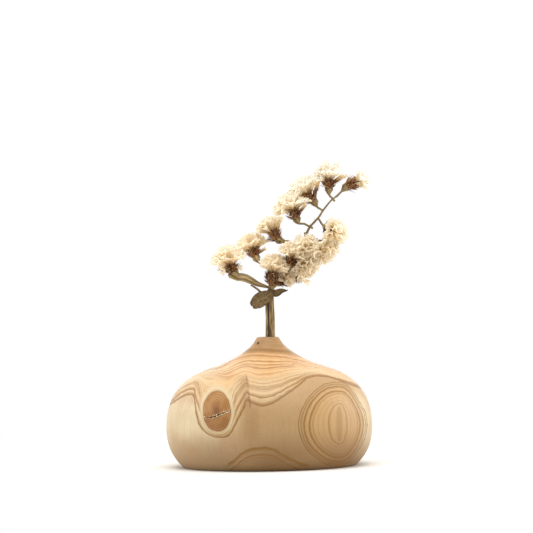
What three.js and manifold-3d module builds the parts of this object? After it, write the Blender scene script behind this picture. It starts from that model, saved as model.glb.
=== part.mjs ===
// A turned wooden bud vase, and the sprig of dried statice that stands loose in its bore.
// Millimetres, +Z up. The origin is the centre of the flat foot that the vase stands on.
import * as THREE from "three";
import { mergeVertices } from "three/addons/utils/BufferGeometryUtils.js";
import Module from "manifold-3d";

const wasm = await Module();
wasm.setup();

// Turned body: a squat belly that sweeps in to a short conical neck.
const vaseHeight = 75;
const footRadius = 50.5; // where the wall leaves the table
const footAngle = 43; // degrees between the table and the wall there
const footLead = 8.5; // how far the wall holds that slope before it turns up
const bellyRadius = 60;
const bellyHeight = 23; // height of the widest line
const bellyLeadDown = 11;
const bellyLeadUp = 17;
const shoulderRadius = 33; // where the shoulder turns from round to hollow
const shoulderDrop = 17.5; // below the rim
const shoulderAngle = 16.6; // degrees of fall there
const shoulderLeadOut = 20;
const shoulderLeadIn = 10;
const rimRadius = 6.6;
const rimRound = 0.6; // worn outer edge of the rim
const neckAngle = 65; // degrees of fall just under the rim
const neckLead = 8.5;
const boreRadius = 5;
const boreDepth = 55;
const boreEase = 0.3; // broken edge at the mouth of the bore
const bodyFacets = 48; // round the body
const curveSteps = 7; // along each curve of the outline

// Dried stem in the bore: a winged, flattened stalk with a groove between two ribs.
const fitGap = 0.3; // what two grown or resting pieces keep between them
const speck = 0.05; // detail smaller than this is smoothed away
const boreClearance = 0.3; // least gap between the stem and the wall of the bore
const stemWidth = 5.2;
const stemThickness = 2.6;
const stemFootShare = 0.9; // the cut foot's share of the width
const stemRise = 26.5; // of the leaf node above the rim
const restBearing = 39; // degrees from +X towards +Y: the side of the bore that the stem rests against
const grooveDepth = 0.3; // share of the radius that the groove takes
const grooveBearing = 245;
const grooveSharpness = 12;
const stemSides = 12;

// Flower axis: the thin upper stem that bears the heads.
const axisBaseRadius = 1.5;
const axisTipRadius = 0.55;
const axisSides = 8;
const axisStep = 4; // length of one span
const axisSamples = 200; // places looked at when a height on the axis is wanted

// Flower head: a swollen receptacle on a thin stalk.
const stalkRadius = 0.6;
const wingThickness = 0.8; // half the thickness of a winged stalk
const stalkSides = 6;
const stalkStep = 2.2;
const receptacleRadius = 2.3;
const receptacleLength = 4.2;
const receptacleTop = 1; // length of the receptacle that is full width
const receptacleTaper = 1; // length of the first swelling below it

// Cup of pointed bracts round the foot of the calyces.
const cupRadius = 3;
const cupSeat = 0.45; // gap between the receptacle and the cup
const cupHollow = 0.9; // depth of the hollow inside its edge
const cupFoot = 1.8; // radius where the cup sits on the receptacle
const cupFlare = 0.8; // how much wider it is at its edge
const cupWall = 0.9; // at its edge
const cupDip = 0.3; // how far the inner edge lies under the outer one
const bractPoint = 1.6; // how far a bract's tip stands above the edge between two tips
const innerRise = 0.6; // the inner edge's share of that height
const cupSides = 10;

// Bunch of papery funnel calyces on a small knob.
const coreRadius = 1.3;
const tubeRadius = 0.55; // narrow end of a calyx
const throatRadius = 1;
const throatPlace = 0.55; // share of the length
const flareRadius = 2.6; // papery rim of a calyx
const lobeDepth = 0.9; // how far the rim falls between two lobes
const hollowRadius = 0.6; // at the bottom of the funnel
const hollowFloor = 0.6; // share of the length
const calyxSides = 6;
const firstTilt = 0.35; // keeps the first calyx off the head's own aim
const spareWays = 8; // further ways tried when some are blocked
const shorter = [1, 0.86, 0.72]; // lengths a calyx is tried at until it is clear of its neighbours

// Leaf, pointed stipule and side twig at the node.
const leafWidth = 8.4;
const leafThickness = 0.6;
const leafWidest = 0.6; // share of the length
const leafRoot = 0.35; // share of the width where a leaf leaves the stem
const leafTip = 0.6; // share of the width where the torn leaf ends
const stipuleWidth = 4.6;
const stipuleWidest = 0.4;
const stipuleTip = 0.05;
const leafSides = 6;
const leafStep = 2;
const leafBow = 0.8; // how far the middle of the leaf bows towards the viewer
const leafTipBow = 0.2;
const stipuleBow = 0.9;
const stipuleTipBow = 0.6;
const twigRadius = 0.6;

const rimHeight = vaseHeight;
const boreFloor = vaseHeight - boreDepth;
const stemOffset = boreRadius - boreClearance - stemWidth / 2;
const radians = THREE.MathUtils.degToRad;

// Every place on the sprig is counted from the leaf node,
// where the main stem ends and the flower axis begins.
// The route of the flower axis, from the node up.
const axisRoute = [
  [1, 0.6, fitGap],
  [4.2, 2.8, 9.5],
  [11, 4, 17],
  [16.3, 3.4, 25],
  [20.8, 2.2, 31],
  [24.1, 1.4, 37.2],
  [29.1, 0.8, 42.5],
  [32, 0.6, 46.8],
  [37.9, 0.2, 53.6],
  [40.8, 0.2, 55.5],
  [42.8, 0.4, 57.6],
];

// The heads, from the node to the tip. leaves: height on the axis where the stalk starts. via: its bends.
// straight: length under the seat that keeps the aim. wing: half the width of a winged stalk.
// seat: top of the receptacle. aim: the way the head faces. cup: height of the bracts.
// girth: half the width of the bracts. fan: half angle of the calyces, in degrees.
// reach: length of a calyx.
const heads = [
  {
    name: "head_01",
    leaves: 1.8,
    via: [
      [-1.8, -0.4, 2.7],
      [-7.8, -1.8, 4.8],
      [-13.5, -3, 7.8],
      [-18.2, -4.2, 9.4],
      [-20.9, -4.9, 9.3],
    ],
    straight: 0,
    wing: 2.1,
    seat: [-22.8, -5.4, 11.7],
    aim: [-0.1, -0.2, 1],
    cup: 4.6,
    girth: 3.5,
    calyces: 14,
    fan: 72,
    reach: 11.8,
  },
  {
    name: "head_02",
    leaves: 13.5,
    via: [[0.5, 5.6, 16.7]],
    straight: 4,
    seat: [-8.1, 5.6, 20.7],
    aim: [-0.35, 0.1, 0.93],
    cup: 4.2,
    calyces: 12,
    fan: 76,
    reach: 10,
  },
  {
    name: "head_03",
    leaves: 23.5,
    via: [[12.7, 4.8, 28], [8.3, 4.6, 28.9]],
    straight: 0,
    wing: 1.2,
    seat: [4.7, 4.1, 30.5],
    aim: [-0.6, 0.1, 0.8],
    cup: 4.6,
    calyces: 11,
    fan: 58,
    reach: 10,
  },
  {
    name: "head_04",
    leaves: 37.2,
    via: [[21.2, -0.4, 39]],
    straight: 3,
    seat: [16, -1.4, 42.8],
    aim: [-0.28, -0.1, 0.95],
    cup: 4.8,
    girth: 3.3,
    calyces: 13,
    fan: 80,
    reach: 11.5,
  },
  {
    name: "head_05",
    leaves: 46.8,
    via: [],
    straight: 4,
    seat: [26.4, 3.6, 52.7],
    aim: [-0.48, 0.15, 0.88],
    cup: 4.6,
    calyces: 11,
    fan: 60,
    reach: 12,
  },
  {
    name: "head_06",
    leaves: 53.6,
    via: [],
    straight: 4,
    seat: [35.4, -2.4, 60.1],
    aim: [0.03, -0.1, 1],
    cup: 4.6,
    girth: 3.2,
    calyces: 12,
    fan: 62,
    reach: 12.6,
  },
  {
    name: "head_07",
    leaves: 57.4,
    via: [],
    straight: 0,
    seat: [46.2, 1, 60.9],
    aim: [0.88, 0.05, 0.46],
    cup: 5.4,
    calyces: 7,
    fan: 50,
    reach: 8.6,
  },
  {
    name: "head_08",
    leaves: 42.5,
    via: [],
    straight: 4,
    seat: [34.5, -1.9, 36.5],
    aim: [0.6, -0.72, -0.32],
    cup: 4,
    calyces: 14,
    fan: 84,
    reach: 9.8,
  },
  {
    name: "head_09",
    leaves: 33,
    via: [],
    straight: 4,
    seat: [28, -0.9, 27.7],
    aim: [0.62, -0.6, -0.5],
    cup: 3.8,
    calyces: 11,
    fan: 68,
    reach: 10,
  },
  {
    name: "head_10",
    leaves: 30,
    via: [],
    straight: 4,
    seat: [21.3, -6.4, 24.5],
    aim: [0.4, -0.85, 0],
    cup: 3.5,
    girth: 2.8,
    calyces: 7,
    fan: 60,
    reach: 7.5,
  },
  {
    name: "head_11",
    leaves: 11,
    via: [[9.1, -1.6, 10.9]],
    straight: 3,
    seat: [12.2, -6.4, 16],
    aim: [0.22, -0.25, 0.9],
    cup: 3.8,
    calyces: 11,
    fan: 64,
    reach: 10,
  },
  {
    name: "head_12",
    leaves: 19,
    via: [],
    straight: 4,
    seat: [16.9, -2.4, 16],
    aim: [0.75, -0.6, 0.02],
    cup: 3.5,
    girth: 2.5,
    calyces: 11,
    fan: 62,
    reach: 9.2,
  },
  {
    name: "head_13",
    leaves: 1.7,
    via: [],
    straight: 2.6,
    seat: [1.7, -3.8, 4.6],
    aim: [-0.02, -0.35, 0.94],
    cup: 9,
    girth: 3.7,
    calyces: 10,
    fan: 64,
    reach: 8.6,
  },
  {
    name: "head_14",
    leaves: 3.1,
    via: [],
    straight: 2.4,
    seat: [6.2, -0.9, 5.8],
    aim: [0.8, -0.45, 0.42],
    cup: 3.5,
    girth: 2.6,
    calyces: 7,
    fan: 56,
    reach: 6.8,
  },
  {
    name: "head_15",
    leaves: 12,
    via: [],
    straight: 4,
    seat: [14.4, 1.2, 9],
    aim: [0.88, -0.25, -0.28],
    cup: 3.5,
    girth: 2,
    calyces: 2,
    fan: 22,
    reach: 7,
  },
];

// Leaf, stipule and side twig round the node.
const leafFront = -(stemThickness / 2 + fitGap + leafThickness / 2);
const leafRoute = [
  [1.1, leafFront, -0.7],
  [-4.7, leafFront - leafBow, -4.1],
  [-9.5, leafFront - leafTipBow, -7.8],
];
const stipuleRoute = [
  [2.3, leafFront, -1.3],
  [6.1, leafFront - stipuleBow, -0.3],
  [10.5, leafFront - stipuleTipBow, 0.9],
];
const twigRoute = [
  [-2.4, 0.2, -3.4],
  [-7.4, -0.2, 1.6],
  [-11, -1.1, 3.9],
];

// Colours read from the photographed finish.
const paleWood = new THREE.MeshStandardMaterial({ color: "#d9b27c", roughness: 0.6, metalness: 0 });
const driedStem = new THREE.MeshStandardMaterial({ color: "#7d6a44", roughness: 0.8, metalness: 0 });
const driedLeaf = new THREE.MeshStandardMaterial({ color: "#75623f", roughness: 0.85, metalness: 0 });
const brownBract = new THREE.MeshStandardMaterial({ color: "#5b3a2c", roughness: 0.85, metalness: 0 });
const creamCalyx = new THREE.MeshStandardMaterial({
  color: "#e9d7a6", roughness: 0.8, metalness: 0, side: THREE.DoubleSide,
});

// A closed skin through rings of points. Each ring runs counter-clockwise about the way the rings go.
function loft(rings) {
  const count = rings[0].length;
  const last = (rings.length - 1) * count;
  const faces = [];
  for (let r = 0; r < rings.length - 1; r += 1) {
    for (let j = 0; j < count; j += 1) {
      const a = r * count + j;
      const b = r * count + ((j + 1) % count);
      faces.push(a, b, b + count, a, b + count, a + count);
    }
  }
  for (let j = 1; j < count - 1; j += 1) {
    faces.push(0, j + 1, j, last, last + j, last + j + 1);
  }
  const geometry = new THREE.BufferGeometry().setFromPoints(rings.flat());
  geometry.setIndex(faces);
  return geometry;
}

function toSolid(geometry) {
  const bare = geometry.clone();
  bare.deleteAttribute("normal");
  bare.deleteAttribute("uv");
  const merged = mergeVertices(bare, 1e-4);
  return new wasm.Manifold(
    new wasm.Mesh({
      numProp: 3,
      vertProperties: new Float32Array(merged.attributes.position.array),
      triVerts: new Uint32Array(merged.index.array),
    }),
  );
}

// The largest body of a solid: a cut can leave crumbs.
function largest(solid) {
  return solid.decompose().reduce((best, next) => (next.volume() > best.volume() ? next : best));
}

function toMesh(name, solid, material) {
  const made = solid.getMesh();
  const geometry = new THREE.BufferGeometry();
  geometry.setAttribute("position", new THREE.BufferAttribute(made.vertProperties, 3));
  geometry.setIndex(new THREE.BufferAttribute(made.triVerts, 1));
  geometry.computeVertexNormals();
  const mesh = new THREE.Mesh(geometry, material);
  mesh.name = name;
  return mesh;
}

const toVector = (point) => new THREE.Vector3(...point);

// Two directions square to a heading: across lies level where it can, and front leans towards +Y.
function frameAlong(heading) {
  const front = new THREE.Vector3(0, 1, 0);
  if (Math.abs(heading.y) > 0.95) front.set(0, 0, 1);
  front.addScaledVector(heading, -front.dot(heading)).normalize();
  const across = front.clone().cross(heading);
  return { across, front };
}

// A ring about a centre, square to a heading. radiusAt gives [across, front] half sizes at a bearing.
function ringAt(centre, heading, sides, radiusAt) {
  const { across, front } = frameAlong(heading);
  return Array.from({ length: sides }, (_, j) => {
    const bearing = (2 * Math.PI * j) / sides;
    const [wide, thick] = radiusAt(bearing, j);
    return centre
      .clone()
      .addScaledVector(across, wide * Math.cos(bearing))
      .addScaledVector(front, thick * Math.sin(bearing));
  });
}

// A stem through the points of a route, wider and longer by room.
// halfSizes gives [across, front] at a distance from the start, with the whole length beside it.
function sweep(route, step, sides, room, halfSizes) {
  const curve = new THREE.CatmullRomCurve3(route.map(toVector), false, "centripetal");
  const length = curve.getLength();
  const steps = Math.max(3, Math.round(length / step));
  const rings = [];
  for (let i = 0; i <= steps; i += 1) {
    const share = i / steps;
    const heading = curve.getTangentAt(share);
    const centre = curve.getPointAt(share);
    if (i === 0) centre.addScaledVector(heading, -room);
    if (i === steps) centre.addScaledVector(heading, room);
    const [wide, thick] = halfSizes(share * length, length);
    rings.push(ringAt(centre, heading, sides, () => [wide + room, thick + room]));
  }
  return toSolid(loft(rings));
}

// Outline of the turned body, from the centre of the foot round to the centre of the bore's floor.
function bodyOutline() {
  const point = (r, z) => new THREE.Vector2(r, z);
  const along = (from, degrees, length) =>
    point(from.x + length * Math.cos(radians(degrees)), from.y + length * Math.sin(radians(degrees)));
  const foot = point(footRadius, 0);
  const belly = point(bellyRadius, bellyHeight);
  const shoulder = point(shoulderRadius, vaseHeight - shoulderDrop);
  const rim = point(rimRadius, vaseHeight - rimRound);
  const wall = new THREE.CubicBezierCurve(
    foot, along(foot, footAngle, footLead), point(bellyRadius, bellyHeight - bellyLeadDown), belly,
  );
  const dome = new THREE.CubicBezierCurve(
    belly,
    point(bellyRadius, bellyHeight + bellyLeadUp),
    along(shoulder, -shoulderAngle, shoulderLeadOut),
    shoulder,
  );
  const neck = new THREE.CubicBezierCurve(
    shoulder, along(shoulder, 180 - shoulderAngle, shoulderLeadIn), along(rim, -neckAngle, neckLead), rim,
  );
  return [
    point(0, 0),
    ...wall.getPoints(curveSteps),
    ...dome.getPoints(curveSteps).slice(1),
    ...neck.getPoints(curveSteps).slice(1),
    point(rimRadius - rimRound, vaseHeight),
    point(boreRadius + boreEase, vaseHeight),
    point(boreRadius, vaseHeight - boreEase),
    point(boreRadius, boreFloor),
    point(0, boreFloor),
  ];
}

function vaseBody() {
  const turned = new THREE.LatheGeometry(bodyOutline(), bodyFacets).rotateX(Math.PI / 2);
  return toMesh("vase_body", toSolid(turned), paleWood);
}

// The stem stands upright on the floor of the bore and runs up to the node. room widens it all round.
function mainStem(room = 0) {
  const foot = [fitGap - boreDepth - stemRise - room, stemFootShare];
  const levels = [foot, [-stemRise, 1], [room, 1]];
  const rings = levels.map(([z, share]) =>
    ringAt(new THREE.Vector3(0, 0, z), new THREE.Vector3(0, 0, 1), stemSides, (bearing) => {
      const facing = Math.max(0, Math.cos(bearing - radians(grooveBearing)));
      const dent = share * (1 - grooveDepth * facing ** grooveSharpness);
      return [(stemWidth / 2 + room) * dent, (stemThickness / 2 + room) * dent];
    }),
  );
  return toSolid(loft(rings));
}

const axisCurve = new THREE.CatmullRomCurve3(axisRoute.map(toVector), false, "centripetal");

function flowerAxis(room = 0) {
  return sweep(axisRoute, axisStep, axisSides, room, (distance, length) => {
    const radius = THREE.MathUtils.lerp(axisBaseRadius, axisTipRadius, distance / length);
    return [radius, radius];
  });
}

// The point of the axis at a height above the node.
function axisAt(height) {
  const samples = axisCurve.getSpacedPoints(axisSamples);
  return samples.reduce((best, p) => (Math.abs(p.z - height) < Math.abs(best.z - height) ? p : best));
}

// Stalk and receptacle of a head: thin where it leaves the axis, winged on some,
// and swollen under the bracts.
function headStalk(head, room = 0) {
  const { wing = stalkRadius } = head;
  const aim = toVector(head.aim).normalize();
  const route = [axisAt(head.leaves).toArray(), ...head.via];
  if (head.straight) route.push(toVector(head.seat).addScaledVector(aim, -head.straight).toArray());
  route.push(head.seat);
  return sweep(route, stalkStep, stalkSides, room, (distance, length) => {
    const full = length - receptacleTop;
    const swell = THREE.MathUtils.smoothstep(distance, full - receptacleLength - receptacleTaper, full);
    const wide = THREE.MathUtils.lerp(stalkRadius, wing, distance / length);
    const thick = Math.min(wide, wingThickness);
    return [wide, thick].map((half) => THREE.MathUtils.lerp(half, receptacleRadius, swell));
  });
}

const floorHeight = (cup) => cupSeat + cup - bractPoint - cupHollow;

// Where the calyces of a head grow from: the middle of the knob that stands in the cup.
function headCentre({ seat, aim, cup }) {
  return toVector(seat).addScaledVector(toVector(aim).normalize(), floorHeight(cup) + fitGap + coreRadius);
}

// The ways that the calyces of a head may point, spread over its fan from the middle outwards.
function calyxWays(head) {
  const aim = toVector(head.aim).normalize();
  const { across, front } = frameAlong(aim);
  const goldenTurn = Math.PI * (3 - Math.sqrt(5));
  return Array.from({ length: head.calyces + spareWays }, (_, i) => {
    const tilt = radians(head.fan) * Math.sqrt((i + firstTilt) / head.calyces);
    const turn = i * goldenTurn;
    const way = aim.clone().multiplyScalar(Math.cos(tilt));
    way.addScaledVector(across, Math.sin(tilt) * Math.cos(turn));
    way.addScaledVector(front, Math.sin(tilt) * Math.sin(turn));
    return way;
  });
}

// One papery funnel: tube, throat, lobed rim and back down inside.
// With room it is filled and wider all round.
function calyx(centre, way, reach, room) {
  const at = (distance) => centre.clone().addScaledVector(way, distance);
  const plain = (radius) => () => [radius + room, radius + room];
  const rings = [
    ringAt(at(0), way, calyxSides, plain(tubeRadius)),
    ringAt(at(reach * throatPlace), way, calyxSides, plain(throatRadius)),
    ringAt(at(reach + room), way, calyxSides, plain(flareRadius)),
  ];
  rings[2].forEach((p, j) => p.addScaledVector(way, j % 2 ? -lobeDepth : 0));
  if (!room) rings.push(ringAt(at(reach * hollowFloor), way, calyxSides, plain(hollowRadius)));
  return toSolid(loft(rings));
}

// The calyces of a head that are clear of all that is there already,
// as one body and as the room they take.
function headCalyces(head, taken) {
  const centre = headCentre(head);
  const ball = (radius) => toSolid(new THREE.IcosahedronGeometry(radius));
  const knob = (room) => ball(coreRadius + room).translate(centre.toArray());
  const bodies = [knob(0)];
  const rooms = [knob(fitGap)];
  for (const way of calyxWays(head)) {
    if (bodies.length > head.calyces) break;
    for (const share of shorter) {
      const filled = calyx(centre, way, head.reach * share, fitGap);
      if (taken.some((other) => other.intersect(filled).volume() > 0)) continue;
      bodies.push(calyx(centre, way, head.reach * share, 0));
      rooms.push(filled);
      break;
    }
  }
  return [wasm.Manifold.union(bodies), wasm.Manifold.union(rooms)];
}

// The cup of bracts: an outer wall with pointed tips, open inside for the knob of the calyces.
function headBracts({ seat, aim, cup, girth = cupRadius }) {
  const way = toVector(aim).normalize();
  const ring = (height, radius, point = 0) => {
    const made = ringAt(toVector(seat).addScaledVector(way, height), way, cupSides, () => [radius, radius]);
    made.forEach((p, j) => p.addScaledVector(way, j % 2 ? 0 : point));
    return made;
  };
  const hollow = coreRadius + fitGap;
  const edge = cupSeat + cup - bractPoint;
  return toSolid(
    loft([
      ring(cupSeat, cupFoot),
      ring((cupSeat + edge) / 2, girth),
      ring(edge, girth + cupFlare, bractPoint),
      ring(edge - cupDip, girth + cupFlare - cupWall, bractPoint * innerRise),
      ring(floorHeight(cup), hollow),
    ]),
  );
}

// A flat blade along a route: widest gives the share of its length at which it is full width.
function blade(route, width, widest, tip, room) {
  return sweep(route, leafStep, leafSides, room, (distance, length) => {
    const share = distance / length;
    const swell = share < widest ? share / widest : (1 - share) / (1 - widest);
    const least = share < widest ? leafRoot : tip;
    const full = THREE.MathUtils.lerp(least, 1, Math.sin((swell * Math.PI) / 2));
    return [(width / 2) * full, leafThickness / 2];
  });
}

// The sprig, every piece clear of those made before it.
function sprigMeshes() {
  const meshes = [];
  const taken = [];
  const add = (name, solid, material, room) => {
    const clear = taken.reduce((left, other) => left.subtract(other), solid);
    meshes.push(toMesh(name, largest(clear.simplify(speck)), material));
    taken.push(room);
  };
  const leaf = (room) => blade(leafRoute, leafWidth, leafWidest, leafTip, room);
  const stipule = (room) => blade(stipuleRoute, stipuleWidth, stipuleWidest, stipuleTip, room);
  const twig = (room) => sweep(twigRoute, stalkStep, stalkSides, room, () => [twigRadius, twigRadius]);
  add("main_stem", mainStem(), driedStem, mainStem(fitGap));
  add("flower_axis", flowerAxis(), driedStem, flowerAxis(fitGap));
  for (const head of heads) {
    add(`${head.name}_stalk`, headStalk(head), driedStem, headStalk(head, fitGap));
  }
  add("leaf_blade", leaf(0), driedLeaf, leaf(fitGap));
  add("stipule", stipule(0), driedLeaf, stipule(fitGap));
  add("side_twig", twig(0), driedStem, twig(fitGap));
  for (const head of heads) {
    const [calyces, room] = headCalyces(head, taken);
    add(`${head.name}_calyces`, calyces, creamCalyx, room);
  }
  for (const head of heads) {
    add(`${head.name}_bracts`, headBracts(head), brownBract, headBracts(head));
  }
  return meshes;
}

const part = new THREE.Group();
part.add(vaseBody());

const sprig = new THREE.Group();
sprig.position.set(
  stemOffset * Math.cos(radians(restBearing)),
  stemOffset * Math.sin(radians(restBearing)),
  rimHeight + stemRise,
);
sprig.add(...sprigMeshes());
part.add(sprig);

export default part;
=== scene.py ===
# Looks of a turned wooden bud vase with a sprig of dried statice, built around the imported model.
import math
import random

import bmesh
import bpy
from mathutils import Matrix, Vector, noise


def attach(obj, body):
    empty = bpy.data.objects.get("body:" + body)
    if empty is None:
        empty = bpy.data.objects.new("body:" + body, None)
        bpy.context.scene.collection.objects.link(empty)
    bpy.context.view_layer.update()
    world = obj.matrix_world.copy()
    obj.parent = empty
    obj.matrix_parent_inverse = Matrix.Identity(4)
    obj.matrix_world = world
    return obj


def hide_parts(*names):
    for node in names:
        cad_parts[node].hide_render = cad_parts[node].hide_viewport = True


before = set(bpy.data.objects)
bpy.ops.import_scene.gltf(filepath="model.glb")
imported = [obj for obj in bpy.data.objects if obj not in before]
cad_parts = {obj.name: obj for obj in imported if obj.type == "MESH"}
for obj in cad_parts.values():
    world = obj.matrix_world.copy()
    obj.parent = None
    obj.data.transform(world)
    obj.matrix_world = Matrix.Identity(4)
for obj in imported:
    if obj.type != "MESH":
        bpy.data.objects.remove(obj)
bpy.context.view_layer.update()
mm = 0.001
bpy.context.scene.view_settings.view_transform = "Standard"


def linear(hexColour):
    channels = [int(hexColour[i : i + 2], 16) / 255 for i in (1, 3, 5)]
    return [c / 12.92 if c <= 0.04045 else ((c + 0.055) / 1.055) ** 2.4 for c in channels] + [1]


# Adds a shader node with its settings, links and colour stops, and gives back one of its outputs. The links
# are named, or in the order of the sockets, and one may be a plain value or a hex colour instead.
def addNode(tree, kind, links=(), output=0, stops=None, **settings):
    node = tree.nodes.new("ShaderNode" + kind)
    for name, value in settings.items():
        setattr(node, name, value)
    for key, value in links.items() if isinstance(links, dict) else enumerate(links):
        if isinstance(value, bpy.types.NodeSocket):
            tree.links.new(value, node.inputs[key])
        else:
            node.inputs[key].default_value = linear(value) if isinstance(value, str) else value
    if stops:
        elements = node.color_ramp.elements
        while len(elements) < len(stops):
            elements.new(1)
        for element, (place, colour) in zip(elements, sorted(stops, key=lambda stop: stop[0])):
            element.position = place
            element.color = linear(colour) if isinstance(colour, str) else (colour, colour, colour, 1)
    return node.outputs[output] if len(node.outputs) else node


def newMaterial(name):
    material = bpy.data.materials.new(name)
    material.use_nodes = True
    material.node_tree.nodes.clear()
    return material, material.node_tree


# The camera stands level with the lower flowers and leans a little to one side. Its place is in m, its lens
# in mm and its roll in degrees.
camera = {"distance": 1.771, "height": 0.1161, "lens": 205, "sensor": 36, "roll": 1.0}


def placeCamera():
    data = bpy.data.cameras.new("camera")
    data.lens = camera["lens"]
    data.sensor_width = camera["sensor"]
    tripod = bpy.data.objects.new("camera", data)
    bpy.context.scene.collection.objects.link(tripod)
    place = Matrix.Translation((0, -camera["distance"], camera["height"]))
    tilt = Matrix.Rotation(math.radians(camera["roll"]), 4, "Y")
    tripod.matrix_world = place @ tilt @ Matrix.Rotation(math.radians(90), 4, "X")
    bpy.context.scene.camera = tripod


# Soft light from above and a little in front, from both sides and from behind. The surroundings are dimmest
# in front, so the front of the belly is the shaded part. Places and sizes are in m, and power is in watts.
lamps = {
    "above": {"place": (0.0, -0.5, 1.45), "size": 1.5, "power": 21.5},
    "left": {"place": (-1.3, 0.3, 0.5), "size": 1.0, "power": 7},
    "right": {"place": (1.3, 0.3, 0.5), "size": 1.0, "power": 9},
    "behind": {"place": (0.0, 1.5, 0.6), "size": 1.2, "power": 6},
}
studio = {"glow": 0.9, "frontGlow": 0.3, "glowFade": (-0.9, 0.1), "tint": "#ffffff", "aim": (0, 0, 0.08)}
floor = {"colour": "#e0ddd8", "radius": 0.9, "drop": 0.0001, "fadeFrom": 0.16, "fadeTo": 0.4}


def placeLamps():
    for name, facts in lamps.items():
        data = bpy.data.lights.new(name, "AREA")
        data.shape = "DISK"
        data.size = facts["size"]
        data.energy = facts["power"]
        lamp = bpy.data.objects.new(name, data)
        bpy.context.scene.collection.objects.link(lamp)
        place = Vector(facts["place"])
        lamp.location = place
        lamp.rotation_euler = (Vector(studio["aim"]) - place).to_track_quat("-Z", "Y").to_euler()


# 1 for the rays that show the background: straight ones, those in gloss and those through glass.
def seenDirectly(tree):
    path = addNode(tree, "LightPath").node
    seen = path.outputs["Is Camera Ray"]
    for ray in ("Is Glossy Ray", "Is Transmission Ray"):
        seen = addNode(tree, "Math", [seen, path.outputs[ray]], operation="MAXIMUM")
    return seen


def makeWorld():
    world = bpy.data.worlds.new("studio")
    bpy.context.scene.world = world
    world.use_nodes = True
    tree = world.node_tree
    tree.nodes.clear()
    way = addNode(tree, "TexCoord", output="Generated")
    way = addNode(tree, "SeparateXYZ", [way]).node
    strength = addNode(
        tree, "MapRange", [way.outputs["Y"], *studio["glowFade"], studio["frontGlow"], studio["glow"]]
    )
    glow = addNode(tree, "Background", {"Color": studio["tint"], "Strength": strength})
    white = addNode(tree, "Background", {"Color": "#ffffff", "Strength": 1})
    mixed = addNode(tree, "MixShader", [seenDirectly(tree), glow, white])
    addNode(tree, "OutputWorld", {"Surface": mixed})


# Pale painted board under the vase, which fades to the white background before its edge.
def makeFloor():
    material, tree = newMaterial("palePaintedBoard")
    place = addNode(tree, "TexCoord", output="Object")
    distance = addNode(tree, "VectorMath", [place], output="Value", operation="LENGTH")
    fade = [distance, floor["fadeFrom"], floor["fadeTo"]]
    fade = addNode(tree, "MapRange", fade, interpolation_type="SMOOTHSTEP")
    share = addNode(tree, "Math", [fade, seenDirectly(tree)], operation="MULTIPLY")
    board = addNode(tree, "BsdfDiffuse", {"Color": floor["colour"]})
    white = addNode(tree, "Emission", {"Color": "#ffffff", "Strength": 1})
    mixed = addNode(tree, "MixShader", [share, board, white])
    addNode(tree, "OutputMaterial", {"Surface": mixed})
    bm = bmesh.new()
    bmesh.ops.create_circle(bm, cap_ends=True, segments=96, radius=floor["radius"])
    bmesh.ops.translate(bm, verts=bm.verts, vec=(0, 0, -floor["drop"]))
    mesh = bpy.data.meshes.new("floor")
    bm.to_mesh(mesh)
    bm.free()
    mesh.materials.append(material)
    board = bpy.data.objects.new("floor", mesh)
    bpy.context.scene.collection.objects.link(board)


placeCamera()
placeLamps()
makeWorld()
makeFloor()
print("stage: camera, lamps, surroundings and floor are in place")


# Makes an object of a bmesh in mm: at the origin, riding on its body and standing for its CAD nodes.
def makePiece(name, bm, material, body, slot, *nodes):
    bmesh.ops.scale(bm, verts=bm.verts, vec=(mm, mm, mm))
    mesh = bpy.data.meshes.new(name)
    bm.to_mesh(mesh)
    bm.free()
    mesh.materials.append(material)
    for polygon in mesh.polygons:
        polygon.use_smooth = True
    piece = bpy.data.objects.new(name, mesh)
    bpy.context.scene.collection.objects.link(piece)
    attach(piece, body)
    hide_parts(*nodes)
    return piece


# The corners of a CAD node in mm, each place once.
def cornersOf(node):
    found = {}
    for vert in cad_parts[node].data.vertices:
        corner = vert.co / mm
        found[tuple(round(c, 2) for c in corner)] = corner
    return list(found.values())


def middleOf(points):
    return sum(points, Vector()) / len(points)


# A smooth line through points, with finer steps between each two.
def smoothLine(points, finer):
    held = [points[0] * 2 - points[1], *points, points[-1] * 2 - points[-2]]
    line = []
    for before, start, end, after in zip(held, held[1:], held[2:], held[3:]):
        for step in range(finer):
            t = step / finer
            slope = (end - before) * t
            bend = (2 * before - 5 * start + 4 * end - after) * t**2
            twist = (3 * start - before - 3 * end + after) * t**3
            line.append((2 * start + slope + bend + twist) / 2)
    return line + [points[-1].copy()]


def between(low, high, value):
    return min(max((value - low) / (high - low), 0), 1)


def ease(low, high, value):
    t = between(low, high, value)
    return t * t * (3 - 2 * t)


# Turned body, in mm. Crack and pinhole are places as seen from the front, and the mesh is cut finer in steps
# near them.
vase = {
    "turns": 240,  # steps of the spin
    "finer": 5,
    "footInside": 40,  # the edges of the foot are farther from the axis
    "footRound": 0.7,
    "crack": [(-37.6, 28.9), (-35.4, 28.5), (-33.2, 28.8), (-29.6, 29.9), (-25.7, 31.5), (-22.0, 32.7)],
    "crackHalf": 0.3,
    "crackRagged": 1.1,
    "crackDepth": 1.1,
    "crackLip": 0.1,
    "lipReach": 2.2,  # times the half width
    "pinhole": (-5.8, 71.4),
    "pinholeHalf": 1.0,
    "pinholeDepth": 0.8,
    "pinholeLean": (1.4, 0.6),  # it is narrow and leans to the right
    "finerNear": [(2.6, 3), (1.3, 2)],  # how near, and how many cuts
}


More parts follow.
